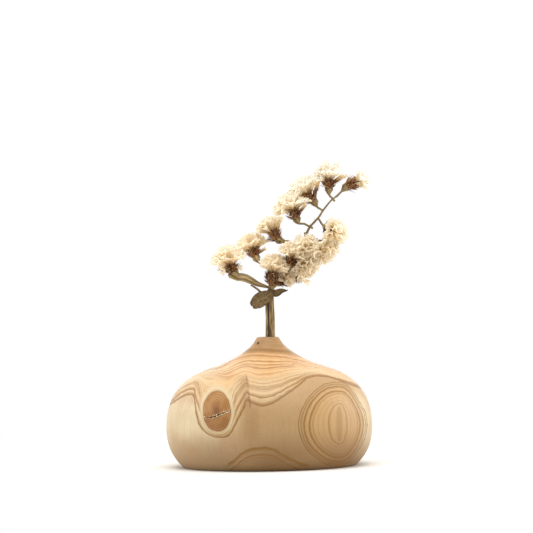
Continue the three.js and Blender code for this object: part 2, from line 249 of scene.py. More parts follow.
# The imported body's outline as radius and height: the outer wall from the foot up, and the bore from its
# mouth down.
def turnedOutline():
    rings = []
    for corner in cornersOf("vase_body"):
        ring = Vector((math.hypot(corner.x, corner.y), corner.z))
        if all((ring - other).length > 0.03 for other in rings):
            rings.append(ring)
    top = max(ring.y for ring in rings)
    rimRings = [ring.x for ring in rings if ring.y > top - 0.01]
    rimMiddle = sum(rimRings) / len(rimRings)
    wall = sorted([ring for ring in rings if ring.x > rimMiddle], key=lambda ring: ring.y)
    inner = [ring for ring in rings if ring.x < rimMiddle and ring.y > 1]
    bore = sorted(inner, key=lambda ring: (-ring.y, -ring.x))
    return smoothLine(wall[:-1], vase["finer"]) + [wall[-1]], bore


# Distance of a point from a line of points, all as seen, and the share of the line passed there.
def offLine(x, z, line):
    best = (1e9, 0)
    for i, (start, end) in enumerate(zip(line, line[1:])):
        run = Vector(end) - Vector(start)
        t = between(0, 1, (Vector((x, z)) - Vector(start)).dot(run) / run.length_squared)
        gap = (Vector(start) + run * t - Vector((x, z))).length
        best = min(best, (gap, (i + t) / (len(line) - 1)))
    return best


# Where a point is seen from the front, in the upright plane through the axis.
def asSeen(point):
    nearer = camera["distance"] / (camera["distance"] + point.y * mm)
    level = camera["height"] / mm
    return point.x * nearer, level + (point.z - level) * nearer


# Cuts the crack and the pinhole, and keeps how deep each point of them lies, or how far a lip stands out.
def carveVase(bm):
    low, high = Vector(vase["crack"][0]), Vector(vase["crack"][-1])
    pinX, pinZ = vase["pinhole"]
    narrow, lean = vase["pinholeLean"]
    lipReach = vase["lipReach"]
    for room, cuts in vase["finerNear"]:
        near = set()
        for face in bm.faces:
            spot = face.calc_center_median()
            if spot.y > 0:
                continue
            x, z = asSeen(spot)
            inCrack = low.x - room < x < high.x + room and offLine(x, z, vase["crack"])[0] < room
            inPin = math.hypot(x - pinX, z - pinZ) < room
            if inCrack or inPin:
                near.update(face.edges)
        bmesh.ops.subdivide_edges(bm, edges=list(near), cuts=cuts, use_grid_fill=True)
    carved = bm.verts.layers.float.new("carved")
    for vert in bm.verts:
        if vert.co.y > 0:
            continue
        x, z = asSeen(vert.co)
        inward = Vector((-vert.co.x, -vert.co.y, 0)).normalized()
        pin = math.hypot((x - pinX) * narrow - (z - pinZ) * lean, z - pinZ) / vase["pinholeHalf"]
        if pin < 1:
            vert.co += inward * vase["pinholeDepth"] * (1 - pin)
            vert[carved] = 0.9 * (1 - pin) ** 0.5
        if not low.x - 1 < x < high.x + 1 or abs(z - low.y) > 6:
            continue
        gap, share = offLine(x, z, vase["crack"])
        ragged = noise.noise(Vector((x * 1.7, 0, z * 1.7)))
        half = vase["crackHalf"] * (0.45 + 2.2 * share * (1 - share))
        half *= 1 + vase["crackRagged"] * ragged
        broken = noise.noise(Vector((x * 1.1, 5, z)))
        if gap < half:
            vert.co += inward * vase["crackDepth"] * min(1, 2 * (1 - gap / half))
            vert[carved] = min(1, 1.6 * (1 - gap / half)) * between(0.25, 1, 1 + 2.5 * broken)
        elif gap < half * lipReach and broken > 0:
            vert.co -= inward * vase["crackLip"] * (1 + ragged) * (lipReach - gap / half) / (lipReach - 1)
            vert[carved] = -1


def makeVase(material):
    wall, bore = turnedOutline()
    bm = bmesh.new()
    line = [Vector((0, 0)), *wall, *bore]
    verts = [bm.verts.new((ring.x, 0, ring.y)) for ring in line]
    edges = [bm.edges.new(pair) for pair in zip(verts, verts[1:])]
    axis = {"cent": (0, 0, 0), "axis": (0, 0, 1)}
    bmesh.ops.spin(bm, geom=verts + edges, angle=math.tau, steps=vase["turns"], use_merge=True, **axis)
    bmesh.ops.remove_doubles(bm, verts=bm.verts, dist=0.001)
    bmesh.ops.recalc_face_normals(bm, faces=bm.faces)
    under = [edge for edge in bm.edges if max(vert.co.z for vert in edge.verts) < 0.001]
    foot = [edge for edge in under if min(vert.co.xy.length for vert in edge.verts) > vase["footInside"]]
    bmesh.ops.bevel(
        bm, geom=foot, offset=vase["footRound"], affect="EDGES", segments=3, profile=0.5, material=-1
    )
    carveVase(bm)
    piece = makePiece("turnedVase", bm, material, "vase", "pale_wood", "vase_body")
    piece.data.set_sharp_from_angle(angle=math.radians(40))
    return piece


# Figure of the wood, in mm as seen from the front: to the right of the axis and above the table, in the
# upright plane through the axis. The guides are the routes of five growth rings, and the field of the rings
# is 0, 1, 2, 3 and 4 on them. A ring is its place in its field, its half width there (for the belly rings in
# mm) and its strength. A fade stands under the value that it follows: where it starts and ends, and what it
# is there if not 0 and 1. A stack is a base colour and the colours laid over it, each as far as its fades
# reach together.
wood = {
    "height": 80,  # above all routes
    "shifts": [(0.035, 2, 2.4), (0.3, 3, 1.1)],  # scale, detail and reach of the noise that moves the figure
    "front": (14, -6),  # behind the axis: where the front's figure ends, and where it is whole
    "backGuide": 8,  # the back takes its rings from here
    "sway": 13,
    "swayScale": 0.018,
    "guides": [
        [
            (-64, 33), (-58.5, 36.4), (-52, 40.3), (-48.5, 41.9), (-45.5, 42.4), (-43.6, 41.6),
            (-42.8, 38.6), (-42.3, 33.6), (-41.3, 27.8), (-39.5, 23.2), (-37, 20.1), (-33.8, 17.8),
            (-28.8, 16.6), (-25, 17.4), (-22, 20.6), (-19.5, 25.3), (-17, 30.3), (-14.3, 35.6),
            (-12.5, 38.5), (-11.6, 37.9), (-8.5, 36.7), (-5, 35.7), (-1, 35.9), (3.2, 37.4), (7.4, 39.7),
            (11.6, 42.3), (15.8, 44.9), (19.2, 48), (21.7, 49.8), (25, 50.9), (28.4, 51.4), (33.4, 51.1),
            (38.3, 50.1), (45, 47.8), (52.4, 44.6), (57.3, 41.1), (64, 34),
        ],
        [
            (-64, 37), (-56, 41.4), (-54, 43.8), (-50.8, 46.7), (-46.6, 48.7), (-43.2, 49.7), (-41, 48),
            (-39.7, 43.5), (-38.8, 38), (-37.9, 32), (-36.3, 25.5), (-33.5, 20.8), (-30, 19), (-26.3, 20.5),
            (-23.8, 25), (-22, 30.5), (-20.5, 36.5), (-18.8, 41.5), (-16, 45.5), (-12.3, 48.3),
            (-11.2, 47.1), (-8.3, 46.4), (-3.4, 45.6), (1.6, 45.8), (6.7, 46.9), (11.7, 48.9), (16.7, 50.7),
            (20, 51.7), (24.2, 52.6), (28.4, 53), (36.7, 51.8), (45, 49.2), (53.3, 45.7), (64, 37.5),
        ],
        [
            (-64, 42), (-50.8, 47.9), (-47.4, 50.4), (-43.2, 52.4), (-39, 53.6), (-34.8, 53.9),
            (-30.7, 53.4), (-27.4, 52.1), (-23.2, 51.6), (-20, 52.8), (-16.5, 54.4), (-13.2, 55.2),
            (-6.5, 53.7), (-0.7, 53.6), (5, 54.3), (10, 55.2), (16, 55.7), (21.8, 55.8), (28.5, 55.5),
            (36.7, 53.7), (45, 50.6), (51.6, 47.5), (64, 40),
        ],
        [
            (-64, 45), (-50, 51), (-38, 55.4), (-28, 57.1), (-23, 59.5), (-18, 61.9), (-13, 63.5),
            (-6.4, 64), (-0.5, 63.7), (7.8, 62.9), (14.4, 61.4), (20.2, 60), (28.5, 57.8), (36.8, 55.2),
            (45, 52), (64, 43),
        ],
        [(-64, 47), (-40, 59), (-20, 66.2), (-8, 68.4), (4, 68.4), (14, 67), (30, 61.5), (64, 46)],
    ],
    "lowRings": [
        (-0.05, 0.6, 0.35), (0.0, 0.75, 0.95), (0.08, 1.0, 0.5), (0.44, 0.75, 0.85), (0.51, 1.0, 0.45),
        (0.78, 0.4, 0.4), (0.87, 0.45, 0.65), (0.96, 0.45, 0.7), (1.06, 0.4, 0.55), (1.3, 0.45, 0.5),
    ],
    "boldRings": (0, 0.44),  # these two don't fade where the field is steep
    "softened": (0.5, 0.25, 0.15, 1),
    "core": 0.2,  # share of the width at full strength
    "topSpan": (1.5, 5),
    "topRings": [
        (1.62, 0.06, 0.3), (2.02, 0.08, 0.5), (2.2, 0.05, 0.3), (2.36, 0.07, 0.85), (2.53, 0.06, 0.8),
        (2.72, 0.06, 0.85), (2.88, 0.05, 0.5), (3.06, 0.14, 0.9), (3.75, 0.38, 0.8), (4.5, 0.12, 0.35),
    ],
    "heart": (41.3, 23.5),
    "heartReach": 10,
    "heartBend": (0, 14, 0, 0.009),  # the ovals' right sides close sooner above and below
    "leftward": 0.94,
    "rightward": 1.4,
    "backOvals": {"Location": (-16, 18, 0), "Scale": (0.9, 0.75, 1)},
    "ovalSpan": (8, 27),
    "ovalRings": [
        (10, 0.5, 0.4), (11.8, 0.45, 0.65), (13.6, 0.4, 0.25), (15.6, 0.4, 0.25), (17.7, 0.45, 0.6),
        (19.3, 0.8, 0.95), (21.9, 0.75, 0.95), (23.4, 0.45, 0.85), (24.6, 0.45, 0.9),
    ],
    "arch": [
        (-64, 0), (-27, 0), (-22.4, 2.1), (-17.4, 6.2), (-12.3, 8.8), (-5.6, 9.9), (1, 9.2), (6.8, 6.1),
        (13.4, 2.3), (19.2, 0), (64, 0),
    ],
    "archMiddle": -1.5,
    "archField": (0.1, 0.78),  # per mm above the arch, and on it
    "archRings": [(0.26, 0.06, 0.3), (0.42, 0.06, 0.85), (0.8, 0.13, 0.95)],
    "streaks": (0.05, 9, 0),  # scale across, and along the field
    "streaksInShoulder": (0.6, 0.12),
    "flecks": (1.3, 1.3, 0.07),
    "toneScale": 0.03,
    "knot": (-30.2, 32.0),
    "knotHalf": (7.8, 12.0),
    "knotBehind": (0, 10),  # behind the axis, where the knot fades out
    "knotTurns": 48,
    "knotScale": 0.16,
    "flaw": {"across": -12.0, "above": 45, "lean": 0.095, "middle": 45.5},
    "rough": 0.5,
    "ior": 1.45,
    "fades": {
        "across": {
            # bellyLeft and bellyRight bound the middle of the belly front, which is painted darker as shade.
            "bellyLeft": (-24, -8), "bellyRight": (56, 44), "paleSide": (-20, -38, 0, 0.6),
            "underLeft": (-19, -13), "underRight": (-3, -9),
        },
        "above": {
            # The first of these darkens the wood toward the foot: painted shade.
            "paintedFootShade": (24, 3), "flawFoot": (32, 37), "flawTop": (55, 50), "underFoot": (10, 20),
            "underTop": (40, 32, 0, 0.28), "knotFoot": (34, 22, 0, 0.45), "haloFoot": (14, 24),
        },
        "ring": {"betweenRings": (-0.1, 0.5, 0, 0.75), "shoulder": (1.5, 2.2), "neck": (3.1, 3.8)},
        "oval": {"inOval": (23, 20)},
        "offArch": {"arch": (25, 22)},
        "streaks": {"streaks": (0.45, 0.72)},
        "flecks": {"flecks": (0.45, 0.8, 0, 0.22)},
        "tone": {"mottled": (0.35, 0.65), "patchy": (0.3, 0.7, 0.5, 0.85)},
        "past": {"besideLeft": (-9, -1, 0, 0.45), "besideRight": (1.5, -0.5)},
        "offFlaw": {"crease": (0.7, 0.1, 0, 0.6)},
        "offMiddle": {"creaseEnds": (2, 6, 0.2, 1)},
        "knot": {
            "inKnot": (1.05, 0.95), "knotHeart": (0.5, 0.05, 0, 0.75), "haloEdge": (1.38, 1.15, 0, 0.8),
        },
        "offRim": {"seam": (0.06, 0.01, 0, 0.45)},
        "turns": {"knotRings": (-0.2, 1, 0, 0.4), "arcs": (0.3, 1, 0, 0.3)},
        "knotTone": {"knotMottled": (0.35, 0.65)},
        # Painted shade deep in the crack and pinhole, and a painted highlight on the raised lips.
        "carved": {"hollow": (0.15, 0.6), "lip": (-0.25, -0.7)},
    },
    "colours": {
        # belly: the wood's own tan, darkened further as painted shade on the dim front of the belly.
        "cream": "#bd9e76", "creamPale": "#d0bd97", "tan": "#bb9664", "belly": "#b08f63",
        "striped": "#d9ab76", "neck": "#aa8456", "between": "#d2b285", "latewood": "#865a16",
        # In the next line: painted shade for the depth of the crack and pinhole, and a painted highlight for
        # their lips.
        # foot: darker toward the foot, partly real brown patches and partly painted shade, mottled by the
        # patchy tone.
        "stain": "#8d6035", "foot": "#8a683f", "crease": "#5e3c1e", "hollow": "#2a170b", "broken": "#f6e7c8",
        "brown": "#9a682f", "orange": "#a97c45", "umber": "#825426", "heartwood": "#6a3f19",
        "knotRing": "#693d13",
    },
    "stacks": {
        "halo": ["creamPale", ("latewood", "arcs")],
        "knot": [
            "brown",
            ("orange", "knotMottled"),
            ("umber", "knotFoot"),
            ("heartwood", "knotHeart"),
            ("knotRing", "knotRings"),
        ],
        "face": [
            "cream",
            ("creamPale", "mottled"),
            # Painted shade over the wood's tan: the middle of the belly front is darker.
            ("belly", "bellyLeft", "bellyRight"),
            ("tan", "inOval", "front"),
            ("between", "betweenRings"),
            ("striped", "shoulder"),
            ("creamPale", "paleSide", "shoulder"),
            ("neck", "neck"),
            # Painted shade toward the foot, over real brown patches where the tone is patchy.
            ("foot", "paintedFootShade", "patchy"),
            ("stain", "flecks"),
            ("stain", "besideLeft", "besideRight", "flawFoot", "flawTop", "front"),
            ("stain", "underLeft", "underRight", "underFoot", "underTop", "front"),
            ("latewood", "lines"),
            ("crease", "crease", "creaseEnds", "flawFoot", "flawTop", "front"),
            ("halo", "haloEdge", "haloFoot"),
            ("knot", "inKnot"),
            ("stain", "seam"),
            # Painted shade in the crack and pinhole, and a painted highlight on the raised lips.
            ("hollow", "hollow"),
            ("broken", "lip"),
        ],
    },
}


# Lines where a field that runs from low to high passes its rings. Each darkens slowly and ends sharply, as
# latewood does.
def ringLines(tree, field, rings, low=0, high=1):
    stops = [(0, 0.0), (1, 0.0)]
    for place, half, strength in rings:
        for offset, value in ((-1.5 * half, 0.0), (0.1 * half, strength), (0.9 * half, 0.0)):
            stops.append(((place + offset - low) / (high - low), value))
    share = addNode(tree, "MapRange", [field, low, high])
    return addNode(tree, "ValToRGB", [share], stops=stops)


# The height of a drawn route at a place between its two ends.
def routeHeight(tree, across, route):
    (left, low), (right, high) = route[0], route[-1]
    share = addNode(tree, "MapRange", [across, left, right])
    node = addNode(tree, "FloatCurve", {"Value": share}).node
    curve = node.mapping.curves[0]
    curve.points[0].location = (0, low / wood["height"])
    curve.points[1].location = (1, high / wood["height"])
    for at, reach in route[1:-1]:
        curve.points.new((at - left) / (right - left), reach / wood["height"])
    node.mapping.update()
    return addNode(tree, "MapRange", [node.outputs[0], 0, 1, 0, wood["height"]], clamp=False)


# Field of the growth rings at a place, from the guides: it runs on under the first and over the last.
def ringField(tree, across, height):
    guides = [routeHeight(tree, across, route) for route in wood["guides"]]
    bands = [
        addNode(tree, "MapRange", [height, low, high], clamp=i in (1, 2))
        for i, (low, high) in enumerate(zip(guides, guides[1:]))
    ]
    ring = addNode(tree, "Math", [bands[0], 1], operation="MINIMUM")
    last = addNode(tree, "Math", [bands[3], 0], operation="MAXIMUM")
    for band in (bands[1], bands[2], last):
        ring = addNode(tree, "Math", [ring, band], operation="ADD")
    return ring


# Oiled ash, turned and fine-sanded: cream sapwood with tan latewood lines under a soft sheen, and
# painted shade over the middle of the belly, toward the foot and in the crack and pinhole.
def makeWood():
    material, tree = newMaterial("oiledAsh")
    place = addNode(tree, "TexCoord", output="Object")
    grain = addNode(tree, "VectorMath", {0: place, "Scale": 1 / mm}, operation="SCALE")
    moved = grain
    for scale, detail, reach in wood["shifts"]:
        shift = {"Vector": grain, "Scale": scale, "Detail": detail}
        shift = addNode(tree, "TexNoise", shift, output="Color")
        shift = addNode(tree, "VectorMath", [shift, (0.5, 0.5, 0.5)], operation="SUBTRACT")
        shift = addNode(tree, "VectorMath", [shift, (reach, 0, reach)], operation="MULTIPLY")
        moved = addNode(tree, "VectorMath", [moved, shift], operation="ADD")
    axes = addNode(tree, "SeparateXYZ", [moved]).node

    # The place as seen, and how much of the front side there is in it: round the back, the rings run nearly
    # level and sway more.
    distance = camera["distance"] / mm
    level = camera["height"] / mm
    away = addNode(tree, "Math", [axes.outputs["Y"], distance], operation="ADD")
    nearer = addNode(tree, "Math", [distance, away], operation="DIVIDE")
    across = addNode(tree, "Math", [axes.outputs["X"], nearer], operation="MULTIPLY")
    above = addNode(tree, "Math", [axes.outputs["Z"], level], operation="SUBTRACT")
    above = addNode(tree, "Math", [above, nearer, level], operation="MULTIPLY_ADD")
    seen = addNode(tree, "CombineXYZ", [across, above])
    front = addNode(tree, "MapRange", [axes.outputs["Y"], *wood["front"]], interpolation_type="SMOOTHSTEP")
    back = addNode(tree, "Math", [1, front], operation="SUBTRACT")
    sway = {"Vector": grain, "Scale": wood["swayScale"], "Detail": 1}
    sway = addNode(tree, "TexNoise", sway, output="Fac")
    sway = addNode(tree, "Math", [sway, 2 * wood["sway"], -wood["sway"]], operation="MULTIPLY_ADD")
    height = addNode(tree, "Math", [sway, back, above], operation="MULTIPLY_ADD")
    guided = addNode(tree, "Mix", {"Factor": front, "A": wood["backGuide"], "B": across}, data_type="FLOAT")

    # The field of the rings, and its slope per mm.
    step = 0.5
    ring = ringField(tree, guided, height)
    right = addNode(tree, "Math", [guided, step], operation="ADD")
    right = addNode(tree, "Math", [ringField(tree, right, height), ring], operation="SUBTRACT")
    higher = addNode(tree, "Math", [height, step], operation="ADD")
    higher = addNode(tree, "Math", [ringField(tree, guided, higher), ring], operation="SUBTRACT")
    slope = addNode(tree, "CombineXYZ", [right, higher])
    slope = addNode(tree, "VectorMath", [slope], output="Value", operation="LENGTH")
    slope = addNode(tree, "Math", [slope, 1 / step], operation="MULTIPLY")

    # Nested ovals on the right, drawn round an upright heart line, and on the back rounder ones.
    aside = addNode(tree, "Math", [across, wood["heart"][0]], operation="SUBTRACT")
    upward = addNode(tree, "Math", [above, wood["heart"][1]], operation="SUBTRACT")
    squared = addNode(tree, "Math", [upward, upward], operation="MULTIPLY")
    bend = addNode(tree, "MapRange", [aside, *wood["heartBend"]], interpolation_type="SMOOTHSTEP")
    aside = addNode(tree, "Math", [squared, bend, aside], operation="MULTIPLY_ADD")
    wider = addNode(tree, "Math", [aside, 0], operation="MAXIMUM")
    wider = addNode(tree, "Math", [wider, wood["rightward"] - wood["leftward"]], operation="MULTIPLY")
    aside = addNode(tree, "Math", [aside, wood["leftward"], wider], operation="MULTIPLY_ADD")
    oval = 0
    for end in (-wood["heartReach"], wood["heartReach"]):
        run = addNode(tree, "Math", [upward, end], operation="SUBTRACT")
        run = addNode(tree, "CombineXYZ", [aside, run])
        run = addNode(tree, "VectorMath", [run], output="Value", operation="LENGTH")
        oval = addNode(tree, "Math", [run, 0.5, oval], operation="MULTIPLY_ADD")
    backOval = addNode(tree, "Mapping", {"Vector": seen, **wood["backOvals"]}, vector_type="TEXTURE")
    backOval = addNode(tree, "VectorMath", [backOval], output="Value", operation="LENGTH")
    oval = addNode(tree, "Mix", {"Factor": back, "A": oval, "B": backOval}, data_type="FLOAT")

    # The arch that the rings make over the foot, near the middle.
    arch = addNode(tree, "Math", [above, routeHeight(tree, across, wood["arch"])], operation="SUBTRACT")
    arch = addNode(tree, "Math", [arch, *wood["archField"]], operation="MULTIPLY_ADD")
    offArch = addNode(tree, "Math", [across, wood["archMiddle"]], operation="SUBTRACT")
    offArch = addNode(tree, "Math", [offArch], operation="ABSOLUTE")

    # Fine streaks that follow the rings, short upright flecks, and the slow change of tone over the body.
    streaks = addNode(tree, "CombineXYZ", [across, ring])
    streaks = addNode(tree, "VectorMath", [streaks, wood["streaks"]], operation="MULTIPLY")
    streaks = addNode(tree, "TexNoise", {"Vector": streaks, "Scale": 1, "Detail": 4}, output="Fac")
    flecks = addNode(tree, "VectorMath", [grain, wood["flecks"]], operation="MULTIPLY")
    flecks = addNode(tree, "TexNoise", {"Vector": flecks, "Scale": 0.5, "Detail": 4}, output="Fac")
    tone = {"Vector": grain, "Scale": wood["toneScale"], "Detail": 2}
    tone = addNode(tree, "TexNoise", tone, output="Fac")

    # The flaw leans left as it rises: how far a place is past it, and from its middle height.
    flaw = wood["flaw"]
    atFoot = flaw["across"] + flaw["above"] * flaw["lean"]
    past = addNode(tree, "Math", [above, -flaw["lean"], atFoot], operation="MULTIPLY_ADD")
    past = addNode(tree, "Math", [across, past], operation="SUBTRACT")
    offFlaw = addNode(tree, "Math", [past], operation="ABSOLUTE")
    offMiddle = addNode(tree, "Math", [above, flaw["middle"]], operation="SUBTRACT")
    offMiddle = addNode(tree, "Math", [offMiddle], operation="ABSOLUTE")

    # The knot: 0 in its heart and 1 at its rim, and ringed.
    knotPlace = {"Vector": seen, "Location": (*wood["knot"], 0), "Scale": (*wood["knotHalf"], 1)}
    knot = addNode(tree, "Mapping", knotPlace, vector_type="TEXTURE")
    knot = addNode(tree, "VectorMath", [knot], output="Value", operation="LENGTH")
    behind = [axes.outputs["Y"], *wood["knotBehind"]]
    behind = addNode(tree, "MapRange", behind, interpolation_type="SMOOTHSTEP")
    knot = addNode(tree, "Math", [knot, behind], operation="ADD")
    offRim = addNode(tree, "Math", [knot, 1], operation="SUBTRACT")
    offRim = addNode(tree, "Math", [offRim], operation="ABSOLUTE")
    turns = addNode(tree, "Math", [knot, wood["knotTurns"]], operation="MULTIPLY")
    turns = addNode(tree, "Math", [turns], operation="SINE")
    knotTone = {"Vector": grain, "Scale": wood["knotScale"], "Detail": 3}
    knotTone = addNode(tree, "TexNoise", knotTone, output="Fac")

    # The crack and the pinhole, as deep as they were cut, for the painted shade in them and the painted
    # highlight on their lips, and the values that the fades follow.
    carved = addNode(tree, "Attribute", output="Fac", attribute_name="carved")
    values = {
        "across": across, "above": above, "ring": ring, "oval": oval, "offArch": offArch,
        "streaks": streaks, "flecks": flecks, "tone": tone, "past": past, "offFlaw": offFlaw,
        "offMiddle": offMiddle, "knot": knot, "offRim": offRim, "turns": turns, "knotTone": knotTone,
        "carved": carved,
    }
    shares = {"front": front}
    for name, fades in wood["fades"].items():
        for share, limits in fades.items():
            limits = [values[name], *limits]
            shares[share] = addNode(tree, "MapRange", limits, interpolation_type="SMOOTHSTEP")

    # The dark lines. The belly rings keep their width in mm where the field is steep, and most of them fade
    # there; the streaks are strongest in the shoulder.
    lines = ringLines(tree, ring, wood["topRings"], *wood["topSpan"])
    gentle = addNode(tree, "MapRange", [slope, *wood["softened"]], interpolation_type="SMOOTHSTEP")
    for spot, half, strength in wood["lowRings"]:
        off = addNode(tree, "Math", [ring, spot], operation="SUBTRACT")
        off = addNode(tree, "Math", [off], operation="ABSOLUTE")
        width = addNode(tree, "Math", [slope, half], operation="MULTIPLY")
        core = addNode(tree, "Math", [width, wood["core"]], operation="MULTIPLY")
        drawn = addNode(tree, "MapRange", [off, width, core, 0, strength], interpolation_type="SMOOTHSTEP")
        if spot not in wood["boldRings"]:
            drawn = addNode(tree, "Math", [drawn, gentle], operation="MULTIPLY")
        lines = addNode(tree, "Math", [lines, drawn], operation="MAXIMUM")
    archLines = ringLines(tree, arch, wood["archRings"])
    for share in ("arch", "front"):
        archLines = addNode(tree, "Math", [archLines, shares[share]], operation="MULTIPLY")
    streaks = [shares["shoulder"], *wood["streaksInShoulder"]]
    streaks = addNode(tree, "Math", streaks, operation="MULTIPLY_ADD")
    streaks = addNode(tree, "Math", [shares["streaks"], streaks], operation="MULTIPLY")
    ovalLines = ringLines(tree, oval, wood["ovalRings"], *wood["ovalSpan"])
    for drawn in (ovalLines, archLines, streaks):
        lines = addNode(tree, "Math", [lines, drawn], operation="MAXIMUM")
    shares["lines"] = lines

    # The stacks of colours, one over the other.
    colours = dict(wood["colours"])
    for name, (base, *layers) in wood["stacks"].items():
        colours[name] = colours[base]
        for over, first, *others in layers:
            share = shares[first]
            for other in others:
                share = addNode(tree, "Math", [share, shares[other]], operation="MULTIPLY")
            mixed = {"Factor": share, "A": colours[name], "B": colours[over]}
            colours[name] = addNode(tree, "Mix", mixed, output=2, data_type="RGBA")
    bump = addNode(tree, "Bump", {"Height": lines, "Strength": 0.15, "Distance": 0.0002})
    looks = {"Base Color": colours["face"], "Roughness": wood["rough"], "IOR": wood["ior"]}
    surface = addNode(tree, "BsdfPrincipled", {**looks, "Normal": bump})
    addNode(tree, "OutputMaterial", {"Surface": surface})
    return material


# A straight tube, handed point by point to shape(share, bearing), which says where each one goes and what its
# grain is there.
def growTube(bm, sides, steps, capped, shape):
    blank = bmesh.new()
    bmesh.ops.create_cone(blank, cap_ends=capped, segments=sides, radius1=1, radius2=1, depth=steps)
    upright = [edge for edge in blank.edges if abs(edge.verts[0].co.z - edge.verts[1].co.z) > 0.5]
    bmesh.ops.subdivide_edges(blank, edges=upright, cuts=steps - 1)
    grain = blank.verts.layers.float_vector.new("grain")
    for vert in blank.verts:
        share = vert.co.z / steps + 0.5
        vert.co, vert[grain] = shape(share, math.atan2(vert.co.y, vert.co.x))
    joinInto(bm, blank)


def joinInto(bm, other):
    bmesh.ops.recalc_face_normals(other, faces=other.faces)
    carrier = bpy.data.meshes.new("carrier")
    other.to_mesh(carrier)
    other.free()
    bm.from_mesh(carrier)
    bpy.data.meshes.remove(carrier)


# The grain keeps a place along and round each stem and scale, for the materials to follow.
def newTuft():
    bm = bmesh.new()
    bm.verts.layers.float_vector.new("grain")
    return bm


# Two directions square to a heading, the second one towards the front.
def squareTo(heading):
    front = Vector((0, -1, 0)) if abs(heading.y) < 0.95 else Vector((0, 0, 1))
    front = (front - heading * front.dot(heading)).normalized()
    return heading.cross(front), front


def lengthsAlong(line):
    lengths = [0]
    for start, end in zip(line, line[1:]):
        lengths.append(lengths[-1] + (end - start).length)
    return lengths


# A stem along a line of points. sizeAt(share) gives its half width and half thickness, and
# rib(bearing, share) how much of them shows there, which the grain keeps for the painted shade in the hollows.
def growStem(bm, line, sides, sizeAt, rib):
    lengths = lengthsAlong(line)
    steps = len(line) - 1

    def shape(share, bearing):
        i = round(share * steps)
        heading = (line[min(i + 1, steps)] - line[max(i - 1, 0)]).normalized()
        across, front = squareTo(heading)
        wide, thick = sizeAt(lengths[i] / lengths[-1])
        out = rib(bearing, share) * math.cos(bearing)
        forth = rib(bearing, share) * math.sin(bearing)
        return line[i] + across * wide * out + front * thick * forth, (out, forth, lengths[i])

    growTube(bm, sides, steps, True, shape)


# The middle line of a CAD stem, sorted by its distance from a start.
def middleLine(node, start, step):
    bands = {}
    for corner in cornersOf(node):
        bands.setdefault(round((corner - start).length / step), []).append(corner)
    return [middleOf(bands[band]) for band in sorted(bands) if len(bands[band]) > 2]


# Where a head sits, the way it faces, and how far its cup and calyces reach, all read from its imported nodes.
def readHead(number):
    bracts = cornersOf(f"head_{number}_bracts")
    calyces = cornersOf(f"head_{number}_calyces")
    middle = middleOf(bracts)
    nearest = sorted(cornersOf(f"head_{number}_stalk"), key=lambda corner: (corner - middle).length)
    seat = middleOf(nearest[:6])
    aim = (middle - seat).normalized()
    cup = max((corner - seat).dot(aim) for corner in bracts)
    heart = seat + aim * cup * 0.62
    reach = max((corner - heart).length for corner in calyces)
    fan = max((corner - heart).angle(aim) for corner in calyces if (corner - heart).length > 0.7 * reach)
    girth = max((corner - seat - aim * (corner - seat).dot(aim)).length for corner in bracts)
    return {"seat": seat, "aim": aim, "cup": cup, "heart": heart, "reach": reach, "fan": fan, "girth": girth}


# Papery calyces: a narrow pleated tube that opens in five ruffled lobes. Lone ones hang out of a tuft by
# themselves, tall ones stand over it with room between them, and buds are still closed: each of those ends
# at a place counted from the seat of its head.
calyxLook = {
    "count": 26,
    "counts": {
        "06": 19, "07": 13, "08": 19, "09": 30, "10": 24, "11": 32, "12": 30, "13": 30, "14": 12, "15": 2,
    },
    "share": 0.6,  # of the count, as the skirts stand for the rest
    "sides": 20,
    "rings": 4,
    "lobes": 5,
    "pleat": 0.07,
    "scallop": 0.12,
    "squeeze": (0.8, 1.2),
    "lean": 0.9,
    "start": 0.6,
    "tube": 0.5,
    "throat": 0.9,
    "flare": 2.5,
    "flares": {"06": 2.1, "07": 2.1, "09": 2.8, "10": 2.8, "11": 2.8, "12": 2.8, "14": 2.0, "15": 1.7},
    "opens": 0.4,  # share of the length where the tube ends
    "lobe": 0.9,  # mm that the rim drops between two lobes
    "ruffle": 0.45,
    "edge": 0.13,
    "deep": 0.62,  # a tuft is flatter from front to back
    "widestFan": 1.2,
    "fanRoom": 0.24,  # kept free at the edge of the CAD head's fan
    "stray": (0.06, 0.25),  # in tilt and in turn
    "reaches": (0.82, 1.03),
    "openings": (0.78, 1.12),
    "skirts": [(0.98, 0.9), (0.5, 0.95)],  # shares of the fan and of the reach
    "skirtSides": 96,
    "skirtRings": 6,
    "skirtStart": 0.8,
    "neck": 0.45,
    "folds": 19,
    "fold": 0.045,
    "fray": 0.22,
    "drift": 0.3,
    "short": {"06": 0.76, "08": 0.91, "12": 0.92, "10": 0.94},  # share of the reach
    "ragged": {"08": 0.2, "12": 0.14, "10": 0.1},  # how much more the ends vary
    "tall": {"06": [(-2.2, -1, 17.3), (6.0, 1, 16.7), (-6.9, 0, 12.4)]},
    "tallFlare": 2.9,
    "lone": {
        "01": [(-7.8, -3, 2.6), (-6.6, -4, 0.8), (6.6, -2, 2.6)],
        "03": [(-8, 0, 9.5), (-9.5, 1, 6)],
        "04": [(-12.5, -2, 4)],
        "06": [(-8, 1, 8), (-6, -4, 6)],
    },
    "buds": {
        "02": [(6.5, -1, 4.4)],
        "03": [(1.6, 0, 9)],
        "04": [(6.4, -1, 7.4)],
        "05": [(4.9, -1, 14), (3, 1, 11)],
        "06": [(10.6, -1, 7.6), (8, 2, 7.5)],
        "07": [(11.5, -1, 1), (10.5, 1, 3.5), (9.5, -2, -0.5), (4.5, -2, 5.5), (8, -3, 1.5)],
    },
    "loneFlare": 0.85,
    "budFlare": 0.8,
    "budFilm": 0.3,
}


